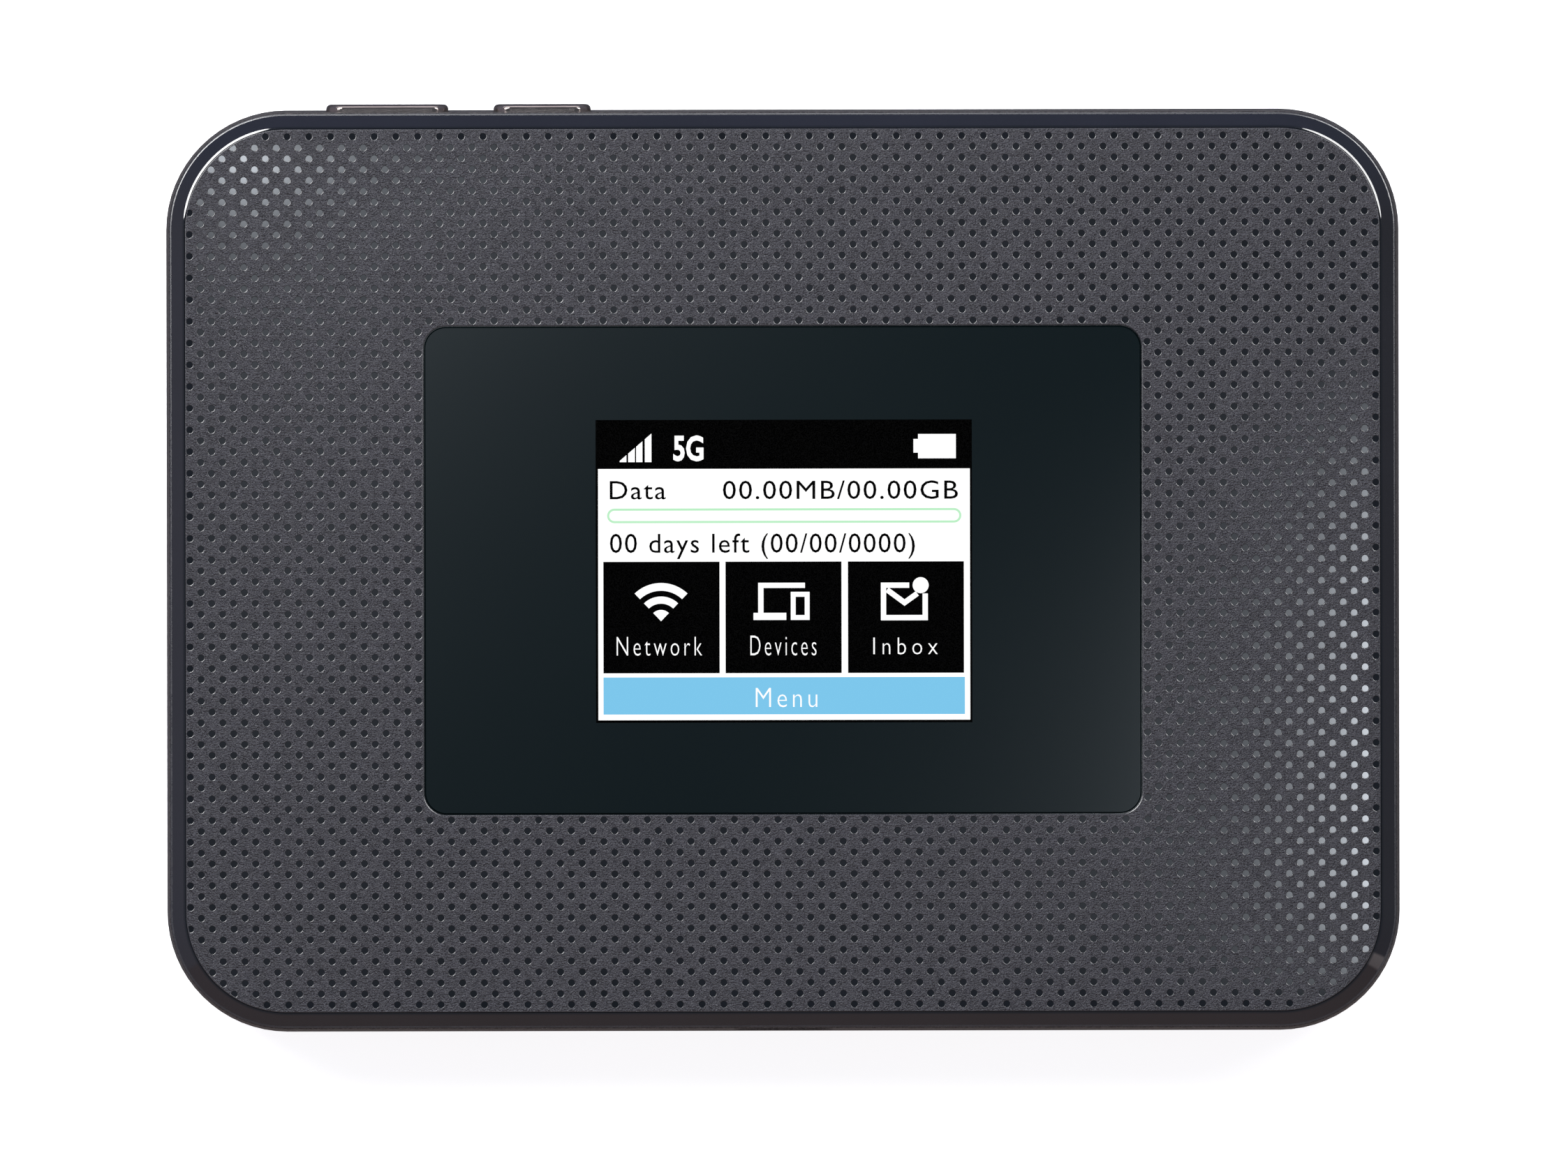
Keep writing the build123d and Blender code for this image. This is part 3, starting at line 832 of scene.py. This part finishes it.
def floor():
    """A pale floor, lit a little from within so that it stays clean under the object's shadow.

    It is clear from below, isn't mirrored in the object and goes down with the rear cover.
    """
    mesh = bpy.data.meshes.new("floor")
    far = FLOOR_REACH
    mesh.from_pydata([(-far, -far, 0), (far, -far, 0), (far, far, 0), (-far, far, 0)], [], [(0, 1, 2, 3)])
    glow = {"Emission_Color": (1, 1, 1, 1), "Emission_Strength": 0.8}
    material = new_material("floor", Base_Color=(0.8, 0.8, 0.8, 1), Roughness=0.9, Specular=0.0, **glow)
    side = material.node_tree.nodes.new("ShaderNodeNewGeometry")
    front = material.node_tree.nodes.new("ShaderNodeMath")
    front.operation = "SUBTRACT"
    front.inputs[0].default_value = 1.0
    material.node_tree.links.new(side.outputs["Backfacing"], front.inputs[1])
    material.node_tree.links.new(front.outputs[0], shader_of(material).inputs["Alpha"])
    mesh.materials.append(material)
    plane = bpy.data.objects.new("floor", mesh)
    scene.collection.objects.link(plane)
    plane.visible_glossy = False
    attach(plane, "back")


def softbox(name, azimuth, elevation, distance, width, height, brightness):
    """An oval light aimed at the object; brightness is its radiance."""
    data = bpy.data.lights.new(name, "AREA")
    data.shape = "ELLIPSE"
    data.size = width
    data.size_y = height
    data.energy = brightness * math.pi * width * height * math.pi / 4
    light = bpy.data.objects.new(name, data)
    a, e = math.radians(azimuth), math.radians(elevation)
    way = Vector((math.cos(a) * math.cos(e), math.sin(a) * math.cos(e), math.sin(e)))
    light.location = way * distance
    light.rotation_euler = way.to_track_quat("Z", "Y").to_euler()
    light.visible_camera = False
    scene.collection.objects.link(light)


# the wall's tints by azimuth, in degrees
WALL_TINTS = (
    (-180, (0.39, 0.39, 0.50)),
    (-151, (0.38, 0.36, 0.44)),
    (-149, (0.38, 0.31, 0.34)),
    (-90, (0.376, 0.303, 0.31)),
    (-32, (0.35, 0.28, 0.29)),
    (-31, (0.9, 0.78, 0.81)),
    (-25, (1.1, 0.97, 1.0)),
    (-24, (0.23, 0.22, 0.27)),
    (0, (0.235, 0.24, 0.29)),
    (45, (0.25, 0.29, 0.42)),
    (90, (0.27, 0.30, 0.47)),
    (135, (0.26, 0.30, 0.45)),
    (180, (0.39, 0.39, 0.50)),
)
CEILING = (0.08, 0.12, 0.16)        # the ceiling's own dim light
PATCH_TINT = (0.94, 1.0, 1.08)      # the tint of the patches on it
# heights are the upward part of a direction: 1 is straight up and -1 straight down
WALL_HEIGHTS = (0.97, 0.75)         # the ceiling fades into the wall from the first to the second
DARK_HEIGHTS = (-0.5, -0.02)        # the light from below grows from the first to the second,
LEAST_LIGHT = 0.3                   # and is never less than this share
MIX_FIRST, MIX_SECOND, MIX_RESULT = 6, 7, 2     # the colour sockets of a Mix node


class Sums:
    """Arithmetic made of shader nodes in one tree."""

    def __init__(self, tree):
        self.nodes = tree.nodes
        self.links = tree.links

    def step(self, operation, *inputs):
        """One operation on sockets or numbers."""
        node = self.nodes.new("ShaderNodeMath")
        node.operation = operation
        for socket, value in zip(node.inputs, inputs):
            if isinstance(value, bpy.types.NodeSocket):
                self.links.new(value, socket)
            else:
                socket.default_value = value
        return node.outputs[0]

    def fade(self, value, start, end):
        """0 at start and 1 at end, smooth between."""
        node = self.nodes.new("ShaderNodeMapRange")
        node.interpolation_type = "SMOOTHSTEP"
        node.inputs["From Min"].default_value = min(start, end)
        node.inputs["From Max"].default_value = max(start, end)
        node.inputs["To Min"].default_value = 0.0 if start < end else 1.0
        node.inputs["To Max"].default_value = 1.0 if start < end else 0.0
        self.links.new(value, node.inputs["Value"])
        return node.outputs["Result"]

    def decay(self, value, centre, below, above=None):
        """1 at the centre, falling off exponentially: by the length below under it and by above over it."""
        under = self.step("DIVIDE", self.step("SUBTRACT", value, centre), below)
        over = self.step("DIVIDE", self.step("SUBTRACT", centre, value), above or below)
        return self.step("EXPONENT", self.step("MINIMUM", under, over))

    def patch(self, across, up, strength):
        """The product of two falloffs and a strength."""
        return self.step("MULTIPLY", self.step("MULTIPLY", across, up), strength)


def ceiling_light(sums, x, y, z):
    """The ceiling's light: a patch that shows at the upper left corner and one at the right, both with tails.

    Places are in millimetres on the object's level face, where the camera sees the ceiling mirrored.
    """
    across, up = (sums.step("MULTIPLY", sums.step("DIVIDE", side, z), DISTANCE) for side in (x, y))
    corner_core = sums.patch(sums.decay(across, -50, 6), sums.decay(up, 38.5, 3.6, 5), 17.0)
    corner_tail = sums.patch(sums.decay(across, -46, 14, 27), sums.decay(up, 37, 27), 2.1)
    side_core = sums.patch(sums.decay(across, 55, 4.6, 40), sums.fade(up, 24, -10), 16.0)
    side_tail = sums.patch(sums.decay(across, 50, 15), sums.fade(up, 26, -34), 2.4)
    side = sums.step("MULTIPLY", sums.step("ADD", side_core, side_tail), sums.fade(up, -43.5, -27))
    patches = sums.step("ADD", sums.step("ADD", corner_core, corner_tail), side)
    ceiling = sums.nodes.new("ShaderNodeCombineColor")
    for socket, tone, share in zip(ceiling.inputs, PATCH_TINT, CEILING):
        sums.links.new(sums.step("MULTIPLY_ADD", patches, tone, share), socket)
    return ceiling.outputs[0]


def wall_light(sums, x, y):
    """The wall's light, which changes in tint round the object, with one bright pane."""
    azimuth = sums.step("ARCTAN2", y, x)
    wall = sums.nodes.new("ShaderNodeValToRGB")
    sums.links.new(sums.step("ADD", sums.step("DIVIDE", azimuth, math.tau), 0.5), wall.inputs["Fac"])
    stops = wall.color_ramp.elements
    while len(stops) < len(WALL_TINTS):
        stops.new(0.5)
    for stop, (degrees, _) in zip(stops, WALL_TINTS):
        stop.position = degrees / 360 + 0.5
    for stop, (_, tone) in zip(stops, WALL_TINTS):
        stop.color = (*tone, 1)
    return wall.outputs["Color"]


def sky():
    """The room: a dim ceiling with two soft patches, and a tinted wall. The camera itself sees only white."""
    world = bpy.data.worlds.new("room")
    world.use_nodes = True
    scene.world = world
    sums = Sums(world.node_tree)
    nodes, links = sums.nodes, sums.links

    direction = nodes.new("ShaderNodeSeparateXYZ")
    links.new(nodes.new("ShaderNodeTexCoord").outputs["Generated"], direction.inputs[0])
    x, y, z = direction.outputs
    blend = nodes.new("ShaderNodeMix")
    blend.data_type = "RGBA"
    links.new(sums.fade(z, *WALL_HEIGHTS), blend.inputs["Factor"])
    links.new(ceiling_light(sums, x, y, z), blend.inputs[MIX_FIRST])
    links.new(wall_light(sums, x, y), blend.inputs[MIX_SECOND])

    room = nodes["Background"]
    links.new(blend.outputs[MIX_RESULT], room.inputs["Color"])
    links.new(sums.step("MAXIMUM", sums.fade(z, *DARK_HEIGHTS), LEAST_LIGHT), room.inputs["Strength"])
    backdrop = nodes.new("ShaderNodeBackground")
    backdrop.inputs["Color"].default_value = (1, 1, 1, 1)
    seen = nodes.new("ShaderNodeLightPath")
    both = nodes.new("ShaderNodeMixShader")
    links.new(seen.outputs["Is Camera Ray"], both.inputs[0])
    links.new(room.outputs[0], both.inputs[1])
    links.new(backdrop.outputs[0], both.inputs[2])
    links.new(both.outputs[0], nodes["World Output"].inputs["Surface"])


floor()
for name, setup in SOFTBOXES.items():
    softbox(name, *setup)
sky()
